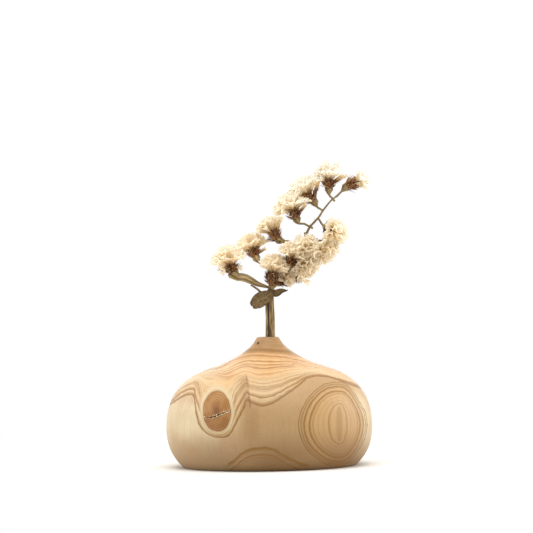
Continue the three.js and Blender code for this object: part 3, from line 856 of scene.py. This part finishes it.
# A calyx from a root, mostly the heart of its head. opened is its radius at the rim, and film how papery the
# rim looks.
def growCalyx(bm, root, way, reach, opened, film, seed):
    look = calyxLook
    across, front = squareTo(way)
    draw = random.Random(seed)
    lean = across * draw.uniform(-1, 1) + front * draw.uniform(-1, 1)
    turn = draw.uniform(0, math.tau)
    squeeze = draw.uniform(*look["squeeze"])
    jitter = {}

    def shape(share, bearing):
        around = round(bearing * look["sides"] / math.tau)
        drift = jitter.setdefault((around, share), (draw.uniform(-1, 1), draw.uniform(-1, 1)))
        spread = ease(look["opens"], 1, share)
        radius = look["tube"] + (look["throat"] - look["tube"]) * min(share / look["opens"], 1)
        radius = min(radius, opened) + (opened - min(look["throat"], opened)) * spread**1.15
        scallop = math.cos(look["lobes"] * bearing)
        pleat = look["pleat"] * (-1) ** around
        radius *= 1 + (look["scallop"] * scallop + pleat + look["edge"] * drift[0] * film) * spread
        height = look["start"] + (reach - look["start"]) * share
        height += (look["lobe"] * 0.5 * (scallop - 1) + look["ruffle"] * drift[1] * 0.5) * spread * film
        place = root + way * height + lean * look["lean"] * share**2
        place += across * radius * squeeze * math.cos(bearing + turn)
        place += front * radius / squeeze * math.sin(bearing + turn)
        return place, (math.cos(bearing), math.sin(bearing) + 3 * (seed % 7), share * film)

    growTube(bm, look["sides"], look["rings"], False, shape)


# The films of many calyces that lie against each other: a pleated skirt with a frayed rim. tilt is how far
# it spreads from the way the head faces.
def growSkirt(bm, head, tilt, reach, deep, seed):
    look = calyxLook
    across, front = squareTo(head["aim"])

    def shape(share, bearing):
        turn = Vector((math.cos(bearing), math.sin(bearing), 0))
        drift = look["drift"] * noise.noise(turn * 1.6 + Vector((0, 0, seed)))
        fray = look["fray"] * noise.noise(turn * 8 + Vector((0, 0, seed))) * share
        fold = look["fold"] * math.sin(look["folds"] * bearing + 14 * drift) * share
        lean = tilt * (look["neck"] + (1 - look["neck"]) * share**0.7) * (1 + drift) + fold
        out = across * turn.x + front * turn.y * deep
        way = (head["aim"] * math.cos(lean) + out * math.sin(lean)).normalized()
        far = look["skirtStart"] + (reach * (1 + 0.5 * drift + fray) - look["skirtStart"]) * share
        return head["heart"] + way * far, (turn.x * 1.6, turn.y * 1.6 + seed, share)

    growTube(bm, look["skirtSides"], look["skirtRings"], False, shape)


def makeCalyces(number, head, material):
    bm = newTuft()
    look = calyxLook
    draw = random.Random(number)
    golden = math.pi * (3 - math.sqrt(5))  # the turn from each calyx to the next
    across, front = squareTo(head["aim"])
    count = look["counts"].get(number, look["count"])
    flare = look["flares"].get(number, look["flare"])
    fan = min(head["fan"] - look["fanRoom"], look["widestFan"])
    far = head["reach"] * look["short"].get(number, 1)
    ragged = look["ragged"].get(number, 0)
    deep = look["deep"] if abs(head["aim"].y) < 0.4 else 1
    skirts = look["skirts"] if count > 2 else []
    for i, (widely, high) in enumerate(skirts):
        growSkirt(bm, head, fan * widely, far * high, deep, 7 * i + int(number))
    if skirts:
        count = round(count * look["share"])
    strayTilt, strayTurn = look["stray"]
    shortest, longest = look["reaches"]
    for i in range(count):
        tilt = fan * math.sqrt((i + 0.4) / count) + draw.uniform(-strayTilt, strayTilt)
        turn = i * golden + draw.uniform(-strayTurn, strayTurn)
        way = head["aim"] * math.cos(tilt)
        way += (across * math.cos(turn) + front * deep * math.sin(turn)) * math.sin(tilt)
        way.normalize()
        reach = far * draw.uniform(shortest - ragged, longest + ragged)
        opened = flare * draw.uniform(*look["openings"])
        growCalyx(bm, head["heart"], way, reach, opened, 1, draw.randrange(1000))
    kinds = {
        "tall": (head["heart"], look["tallFlare"], 1),
        "lone": (head["heart"], flare * look["loneFlare"], 1),
        "buds": (head["seat"] + head["aim"], look["budFlare"], look["budFilm"]),
    }
    for kind, (root, opened, film) in kinds.items():
        for end in look[kind].get(number, []):
            way = head["seat"] + Vector(end) - root
            growCalyx(bm, root, way.normalized(), way.length, opened, film, draw.randrange(1000))
    makePiece(f"head{number}Calyces", bm, material, "sprig", "cream_calyx", f"head_{number}_calyces")


# Dry brown bracts: narrow pointed scales in rings round the receptacle, bristles between them, and sprays of
# long ones that stick out on one side, each with its end from the seat and its count. A spent head is a heap
# of small ones.
bractLook = {
    "rings": 4,
    "each": 11,
    "long": 4.0,
    "wide": 0.85,
    "thick": 0.18,
    "lengths": (0.7, 1.1),
    "curl": 0.9,
    "tilt": 0.75,
    "tiltLoss": 0.3,
    "around": (0.42, 0.2),  # shares of the girth: at both ends, and added in the middle
    "climb": 0.66,  # share of the cup that the rings reach
    "bristles": 9,
    "bristle": 0.2,
    "bristleTilts": (0.6, 1.35),
    "bristleLengths": (1, 1.45),
    "spray": 0.48,
    "sprayRoots": (0.1, 0.4),
    "sprayLengths": (0.7, 1.05),
    "sprayStray": 1.1,
    "heap": {"13": {"rings": 10, "each": 14, "long": 2.8, "wide": 0.7}},
    "sprays": {
        "01": [((-9, -1, 0.3), 3), ((5.5, -2, 5), 10)],
        "02": [((6.4, -1, 4.2), 9), ((3.5, -2, 6.5), 6)],
        "03": [((1, 0, 8), 9), ((3, -1, 6), 6)],
        "04": [((5.6, -1, 5.5), 9), ((3, -2, 6), 6)],
        "05": [((4.2, -1, 9.5), 9), ((2.4, -1, 7), 6), ((-5.5, -2, 4.5), 6)],
        "06": [((7.5, -1, 4), 10), ((4.5, -2, 5), 6), ((-4.5, -2, 4), 6)],
        "07": [((9, -1, 2.5), 14), ((5, 0, 5.5), 8), ((7, -2, 0), 6)],
        "08": [((-0.5, -3, 5), 8), ((4, -4, -4), 6)],
        "11": [((-0.5, -4, -4), 3)],
    },
}


# A pointed scale from its root. way is where it points, and out the side that it curls to.
def growScale(bm, root, way, out, long, wide, curl, seed):
    across = way.cross(out).normalized()
    thick = bractLook["thick"]

    def shape(share, bearing):
        swell = math.sin(math.pi * (0.2 + 0.8 * share)) ** 0.8 if share < 1 else 0.04
        place = root + way * long * share + out * curl * share**2
        place += across * wide * swell * math.cos(bearing) + out * thick * swell * math.sin(bearing)
        return place, (math.cos(bearing) + seed, math.sin(bearing), share)

    growTube(bm, 4, 3, True, shape)


def makeBracts(number, head, material):
    bm = newTuft()
    draw = random.Random(number + "bracts")
    across, front = squareTo(head["aim"])
    look = {**bractLook, **bractLook["heap"].get(number, {})}
    least, more = look["around"]
    stray = look["sprayStray"]
    for ring in range(look["rings"]):
        level = ring / (look["rings"] - 1)
        for i in range(look["each"]):
            turn = math.tau * (i + 0.5 * (ring % 2)) / look["each"] + draw.uniform(-0.2, 0.2)
            out = across * math.cos(turn) + front * math.sin(turn)
            tilt = look["tilt"] - look["tiltLoss"] * level + draw.uniform(-0.15, 0.3)
            way = (head["aim"] * math.cos(tilt) + out * math.sin(tilt)).normalized()
            width = head["girth"] * (least + more * math.sin(math.pi * level))
            root = head["seat"] + head["aim"] * (head["cup"] * look["climb"] * level - 0.5) + out * width
            long = look["long"] * draw.uniform(*look["lengths"])
            growScale(bm, root, way, out, long, look["wide"], draw.uniform(0, look["curl"]), i)
    for i in range(look["bristles"]):
        turn = draw.uniform(0, math.tau)
        out = across * math.cos(turn) + front * math.sin(turn)
        tilt = draw.uniform(*look["bristleTilts"])
        way = (head["aim"] * math.cos(tilt) + out * math.sin(tilt)).normalized()
        long = bractLook["long"] * draw.uniform(*look["bristleLengths"])
        growScale(bm, head["heart"], way, out, long, look["bristle"], 0.5, i)
    for end, count in look["sprays"].get(number, []):
        for i in range(count):
            root = head["seat"] + head["aim"] * head["cup"] * draw.uniform(*look["sprayRoots"])
            astray = Vector([draw.uniform(-stray, stray) for axis in range(3)])
            way = head["seat"] + Vector(end) * draw.uniform(*look["sprayLengths"]) + astray - root
            out = squareTo(way.normalized())[0]
            growScale(bm, root, way.normalized(), out, way.length, look["spray"], draw.uniform(-0.5, 0.5), i)
    makePiece(f"head{number}Bracts", bm, material, "sprig", "brown_bract", f"head_{number}_bracts")


# Ribbed stalk, winged on two of the heads, that swells into the receptacle.
stalkLook = {
    "sides": 14,
    "finer": 3,
    "thin": 0.62,
    "thick": 0.75,
    "wings": {"01": 2.4, "03": 1.3},
    "full": 2.6,
    "fuller": {"01": 3.7},
    "swell": 4.6,  # mm before the seat
    "lip": 1.2,
    "close": 0.12,
    "ribs": 5,
    "rib": 0.1,
}


def makeStalk(number, head, material):
    bm = newTuft()
    look = stalkLook
    line = middleLine(f"head_{number}_stalk", head["seat"], 2.2)[::-1]
    line[-1] = head["seat"].copy()
    line = [line[0] * 2 - line[1]] + line
    total = lengthsAlong(line)[-1]
    line = smoothLine(line, look["finer"])
    wing = look["wings"].get(number, look["thin"])
    full = look["fuller"].get(number, look["full"])

    def sizeAt(share):
        swell = ease(total - look["swell"], total - look["lip"], share * total)
        wide = look["thin"] + (wing - look["thin"]) * ease(0, 0.7, share)
        closing = 1 - look["close"] * ease(total - look["lip"], total, share * total)
        return [(half + (full - half) * swell) * closing for half in (wide, min(wide, look["thick"]))]

    def rib(bearing, share):
        return 1 + look["rib"] * math.cos(look["ribs"] * bearing)

    growStem(bm, line, look["sides"], sizeAt, rib)
    makePiece(f"head{number}Stalk", bm, material, "sprig", "dried_stem", f"head_{number}_stalk")


# The main stem: flat, with a rib down each side and a deep groove left of its middle, which its material
# darkens with painted shade.
stemLook = {
    "sides": 40,
    "levels": 26,
    "wide": 2.75,
    "thick": 1.33,
    "bow": 0.25,
    "bends": 3.2,
    "aside": -0.3,
    "waist": 0.05,
    "slimFoot": 0.06,
    "wander": 0.06,  # how far the grooves turn on their way
    "grooves": [  # bearing, depth and sharpness
        (2.03, 0.42, 40), (1.15, 0.14, 60), (0.5, 0.1, 60), (2.75, 0.12, 60), (4.6, 0.3, 30),
    ],
}


def makeStem(material):
    bm = newTuft()
    look = stemLook
    corners = cornersOf("main_stem")
    foot = min(corner.z for corner in corners)
    top = max(corner.z for corner in corners)
    middle = middleOf([corner for corner in corners if corner.z > top - 2])
    line = []
    for i in range(look["levels"] + 1):
        share = i / look["levels"]
        bend = look["bow"] * math.sin(look["bends"] * math.pi * share) * (1 - (1 - share) ** 6)
        line.append(Vector((middle.x + look["aside"] + bend, middle.y, foot + (top - foot) * share)))

    def sizeAt(share):
        slimmer = 1 - look["waist"] * math.cos(2 * math.pi * share) - look["slimFoot"] * (1 - share)
        return look["wide"] * slimmer, look["thick"] * slimmer

    def rib(bearing, share):
        shrink = 1
        for at, depth, sharp in look["grooves"]:
            wander = look["wander"] * math.sin(7 * share + 3 * at)
            shrink -= depth * max(0, math.cos(bearing - at - wander)) ** sharp
        return shrink

    growStem(bm, line, look["sides"], sizeAt, rib)
    makePiece("mainStem", bm, material, "sprig", "dried_stem", "main_stem")


# The thin upper stem, with the small thorns that fallen bracts leave.
axisLook = {
    "sides": 12,
    "finer": 4,
    "thick": 1.15,
    "thin": 0.45,
    "rib": 0.12,
    "thorns": 12,
    "thorn": 1.7,
    "thornWide": 0.3,
    "thornsFrom": 0.3,
    "thornsRun": 0.68,
}


def makeAxis(material):
    bm = newTuft()
    look = axisLook
    draw = random.Random(5)
    low = min(cornersOf("flower_axis"), key=lambda corner: corner.z)
    line = smoothLine(middleLine("flower_axis", low, 3.6), look["finer"])

    def sizeAt(share):
        size = look["thick"] + (look["thin"] - look["thick"]) * share**0.7
        return size, size

    def rib(bearing, share):
        return 1 + look["rib"] * math.cos(4 * bearing + 2 * share)

    growStem(bm, line, look["sides"], sizeAt, rib)
    for i in range(look["thorns"]):
        share = look["thornsFrom"] + look["thornsRun"] * i / look["thorns"]
        at = round(share * (len(line) - 1))
        heading = (line[min(at + 1, len(line) - 1)] - line[at - 1]).normalized()
        across, front = squareTo(heading)
        turn = draw.uniform(0, math.tau)
        out = across * math.cos(turn) + front * math.sin(turn)
        way = (out + heading * 0.7).normalized()
        root = line[at] + out * sizeAt(share)[0] * 0.5
        growScale(bm, root, way, out, look["thorn"] * draw.uniform(0.7, 1.2), look["thornWide"], 0.2, i)
    makePiece("flowerAxis", bm, material, "sprig", "dried_stem", "flower_axis")


# The bare side twig behind the leaf.
twigLook = {"sides": 10, "finer": 4, "thick": 0.85, "thin": 0.5, "rib": 0.08}


def makeTwig(material):
    bm = newTuft()
    look = twigLook
    corners = cornersOf("side_twig")
    low = min(corners, key=lambda corner: corner.z)
    line = smoothLine(middleLine("side_twig", low, 2.4), look["finer"])

    def sizeAt(share):
        size = look["thick"] + (look["thin"] - look["thick"]) * share
        return size, size

    def rib(bearing, share):
        return 1 + look["rib"] * math.cos(3 * bearing)

    growStem(bm, line, look["sides"], sizeAt, rib)
    makePiece("sideTwig", bm, material, "sprig", "dried_stem", "side_twig")


# Leaf and stipule: thin dry blades with a raised midrib. The leaf has lost its tip.
leafLook = {
    "along": 26,
    "across": 16,
    "wide": 8.6,
    "root": 0.34,
    "widest": 0.58,
    "cupped": 0.9,
    "wavy": 0.15,
    "rib": 0.35,
    "ribHalf": 0.09,  # share of the half width
    "torn": 0.35,
    "beyond": 1.2,  # mm past the middles of the first and last corners
    "blunt": 0.62,
    "sharp": 1,
    "film": 0.3,  # thickness in mm
}
stipuleLook = {
    **leafLook,
    "wide": 4.1,
    "root": 0.55,
    "widest": 0.26,
    "cupped": 0.7,
    "torn": 0,
    "blunt": 0.02,
    "sharp": 1.3,
}


def makeBlade(name, node, look, material):
    corners = cornersOf(node)
    stem = middleOf([corner for corner in cornersOf("main_stem") if corner.z > 95])
    root = min(corners, key=lambda corner: (corner - stem).length)
    tip = max(corners, key=lambda corner: (corner - root).length)
    bands = middleLine(node, root, 2.6)
    start = bands[0] + (bands[0] - bands[1]).normalized() * look["beyond"]
    end = bands[-1] + (bands[-1] - bands[-2]).normalized() * look["beyond"] if look["torn"] else tip
    line = smoothLine([start, *bands, end], 6)
    lengths = lengthsAlong(line)
    bm = bmesh.new()
    bmesh.ops.create_grid(bm, x_segments=look["along"], y_segments=look["across"], size=0.5)
    grain = bm.verts.layers.float_vector.new("grain")
    for vert in bm.verts:
        share = vert.co.x + 0.5
        side = 2 * vert.co.y
        i = max(k for k in range(len(line) - 1) if lengths[k] <= share * lengths[-1] or k == 0)
        place = line[i].lerp(line[i + 1], between(lengths[i], lengths[i + 1], share * lengths[-1]))
        heading = (line[i + 1] - line[i]).normalized()
        across, front = squareTo(heading)
        if share < look["widest"]:
            least, sharp, swell = look["root"], 1, share / look["widest"]
        else:
            least, sharp, swell = look["blunt"], look["sharp"], (1 - share) / (1 - look["widest"])
        swell = math.sin(min(swell, 1) * math.pi / 2) ** sharp
        half = look["wide"] / 2 * (least + (1 - least) * swell)
        ragged = noise.noise(Vector((side * 2.6, 3.1, 0.4)))
        tear = look["torn"] * (1.4 * ragged - 3 * abs(side) ** 4) * ease(0.75, 1, share)
        lift = look["cupped"] * (side**2 - 0.3) + look["rib"] * math.exp(-((side / look["ribHalf"]) ** 2))
        lift += look["wavy"] * noise.noise(Vector((share * 3, side * 2, 1.7)))
        vert.co = place + across * half * side + front * lift + heading * tear
        vert[grain] = (share * 3, side, 0)
    piece = makePiece(name, bm, material, "sprig", "dried_leaf", node)
    film = piece.modifiers.new("film", "SOLIDIFY")
    film.thickness = look["film"] * mm
    film.offset = 0


# Dried flower stem: olive brown, ribbed along its length, with painted shade in its hollows, and with no
# shine.
stemFinish = {
    "fibres": (3.4, 3.4, 0.1),
    "scale": 1.3,
    "colours": [(0.32, "#45341c"), (0.43, "#796239"), (0.54, "#a38b5e"), (0.66, "#c8b482")],
    # Painted shade: the colour of the hollows between the ribs and in the groove, and how far in they darken.
    "hollow": "#2c1f14",
    "hollowFrom": 0.97,  # share of the radius
    "hollowTo": 0.72,
    "rough": 0.75,
}


def makeStemMaterial():
    finish = stemFinish
    material, tree = newMaterial("driedStatice")
    grain = addNode(tree, "Attribute", output="Vector", attribute_name="grain")
    streaks = addNode(tree, "VectorMath", [grain, finish["fibres"]], operation="MULTIPLY")
    streaks = {"Vector": streaks, "Scale": finish["scale"], "Detail": 4}
    streaks = addNode(tree, "TexNoise", streaks, output="Fac")
    colour = addNode(tree, "ValToRGB", [streaks], stops=finish["colours"])
    level = addNode(tree, "VectorMath", [grain, (1, 1, 0)], operation="MULTIPLY")
    radius = addNode(tree, "VectorMath", [level], output="Value", operation="LENGTH")
    # Painted shade where the surface lies in from its full radius.
    hollow = addNode(tree, "MapRange", [radius, finish["hollowFrom"], finish["hollowTo"]])
    hollowed = {"Factor": hollow, "A": colour, "B": finish["hollow"]}
    colour = addNode(tree, "Mix", hollowed, output=2, data_type="RGBA")
    bump = addNode(tree, "Bump", {"Height": streaks, "Strength": 0.6, "Distance": 0.0004})
    looks = {"Base Color": colour, "Roughness": finish["rough"], "Normal": bump}
    addNode(tree, "OutputMaterial", {"Surface": addNode(tree, "BsdfPrincipled", looks)})
    return material


# Dried bracts: dark red-brown, paler and tan here and there.
bractFinish = {
    "scale": 2.2,
    "colours": [(0.3, "#4a2a14"), (0.47, "#7f522d"), (0.6, "#ae7d4c"), (0.72, "#d5aa6c")],
    "rough": 0.8,
}


def makeBractMaterial():
    finish = bractFinish
    material, tree = newMaterial("driedBract")
    grain = addNode(tree, "Attribute", output="Vector", attribute_name="grain")
    streaks = {"Vector": grain, "Scale": finish["scale"], "Detail": 3}
    streaks = addNode(tree, "TexNoise", streaks, output="Fac")
    colour = addNode(tree, "ValToRGB", [streaks], stops=finish["colours"])
    surface = addNode(tree, "BsdfPrincipled", {"Base Color": colour, "Roughness": finish["rough"]})
    addNode(tree, "OutputMaterial", {"Surface": surface})
    return material


# Papery calyx: thin cream film that lets some light through, finely veined, tan where it narrows into its
# tube, and warmer low on the sprig.
calyxFinish = {
    "pale": [(0.04, "#d3b082"), (0.2, "#f0e1c1"), (0.4, "#fbf5e7"), (1, "#fefbf5")],  # from root to rim
    "warm": [(0.04, "#cda36e"), (0.2, "#eed9b1"), (0.4, "#f9edd1"), (1, "#fbf3e1")],
    "warmBelow": 0.14,  # m above the table
    "paleAbove": 0.18,
    "veins": (6, 6, 0.7),
    "scale": 1.6,
    "vein": "#efdcb8",
    "rough": 0.8,
    "letsThrough": 0.66,
}


def makeCalyxMaterial():
    finish = calyxFinish
    material, tree = newMaterial("paperyCalyx")
    grain = addNode(tree, "Attribute", output="Vector", attribute_name="grain")
    along = addNode(tree, "SeparateXYZ", [grain]).node.outputs["Z"]
    pale = addNode(tree, "ValToRGB", [along], stops=finish["pale"])
    warm = addNode(tree, "ValToRGB", [along], stops=finish["warm"])
    place = addNode(tree, "TexCoord", output="Object")
    height = addNode(tree, "SeparateXYZ", [place]).node
    upper = addNode(tree, "MapRange", [height.outputs["Z"], finish["warmBelow"], finish["paleAbove"]])
    colour = addNode(tree, "Mix", {"Factor": upper, "A": warm, "B": pale}, output=2, data_type="RGBA")
    veins = addNode(tree, "VectorMath", [grain, finish["veins"]], operation="MULTIPLY")
    veins = {"Vector": veins, "Scale": finish["scale"], "Detail": 3}
    veins = addNode(tree, "TexNoise", veins, output="Fac")
    besides = addNode(tree, "MapRange", [veins, 0.32, 0.52, 0.85])
    veined = {"Factor": besides, "A": finish["vein"], "B": colour}
    colour = addNode(tree, "Mix", veined, output=2, data_type="RGBA")
    bump = addNode(tree, "Bump", {"Height": veins, "Strength": 0.5, "Distance": 0.0003})
    looks = {"Base Color": colour, "Roughness": finish["rough"], "Normal": bump}
    film = addNode(tree, "BsdfPrincipled", looks)
    lit = addNode(tree, "BsdfTranslucent", {"Color": colour})
    surface = addNode(tree, "MixShader", [finish["letsThrough"], film, lit])
    addNode(tree, "OutputMaterial", {"Surface": surface})
    return material


# Dried leaf: olive brown and papery, with pale branching veins and a darker edge.
leafFinish = {
    "scale": 2.6,
    "colours": [(0.33, "#4f3f25"), (0.5, "#6e5a38"), (0.66, "#89724a")],
    "vein": "#98845b",
    "veinSlant": -1.1,
    "veinGap": 0.34,
    "edge": "#3e2f1b",
    "rough": 0.8,
}


def makeLeafMaterial():
    finish = leafFinish
    material, tree = newMaterial("driedLeaf")
    grain = addNode(tree, "Attribute", output="Vector", attribute_name="grain")
    patches = {"Vector": grain, "Scale": finish["scale"], "Detail": 5}
    patches = addNode(tree, "TexNoise", patches, output="Fac")
    colour = addNode(tree, "ValToRGB", [patches], stops=finish["colours"])
    axes = addNode(tree, "SeparateXYZ", [grain]).node
    side = addNode(tree, "Math", [axes.outputs["Y"]], operation="ABSOLUTE")
    midrib = addNode(tree, "MapRange", [side, 0.09, 0.03, 0, 0.8])
    slant = [side, finish["veinSlant"], axes.outputs["X"]]
    slant = addNode(tree, "Math", slant, operation="MULTIPLY_ADD")
    ribs = addNode(tree, "Math", [slant, finish["veinGap"]], operation="PINGPONG")
    branches = addNode(tree, "MapRange", [ribs, 0.035, 0.01, 0, 0.45])
    veins = addNode(tree, "Math", [midrib, branches], operation="MAXIMUM")
    edge = addNode(tree, "MapRange", [side, 0.86, 1, 0, 0.7])
    for share, over in ((veins, finish["vein"]), (edge, finish["edge"])):
        colour = addNode(tree, "Mix", {"Factor": share, "A": colour, "B": over}, output=2, data_type="RGBA")
    bump = addNode(tree, "Bump", {"Height": veins, "Strength": 0.5, "Distance": 0.0004})
    looks = {"Base Color": colour, "Roughness": finish["rough"], "Normal": bump}
    addNode(tree, "OutputMaterial", {"Surface": addNode(tree, "BsdfPrincipled", looks)})
    return material


def makeSprig():
    stemMaterial = makeStemMaterial()
    bractMaterial = makeBractMaterial()
    calyxMaterial = makeCalyxMaterial()
    leafMaterial = makeLeafMaterial()
    makeStem(stemMaterial)
    makeAxis(stemMaterial)
    makeTwig(stemMaterial)
    makeBlade("leafBlade", "leaf_blade", leafLook, leafMaterial)
    makeBlade("stipule", "stipule", stipuleLook, leafMaterial)
    numbers = sorted(name.split("_")[1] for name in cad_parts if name.endswith("_calyces"))
    for number in numbers:
        head = readHead(number)
        makeStalk(number, head, stemMaterial)
        makeBracts(number, head, bractMaterial)
        makeCalyces(number, head, calyxMaterial)
    print(f"sprig: stem, axis, twig, leaf, stipule and {len(numbers)} flower heads are grown")


makeVase(makeWood())
print("vase: turned body and its figure are made")
makeSprig()
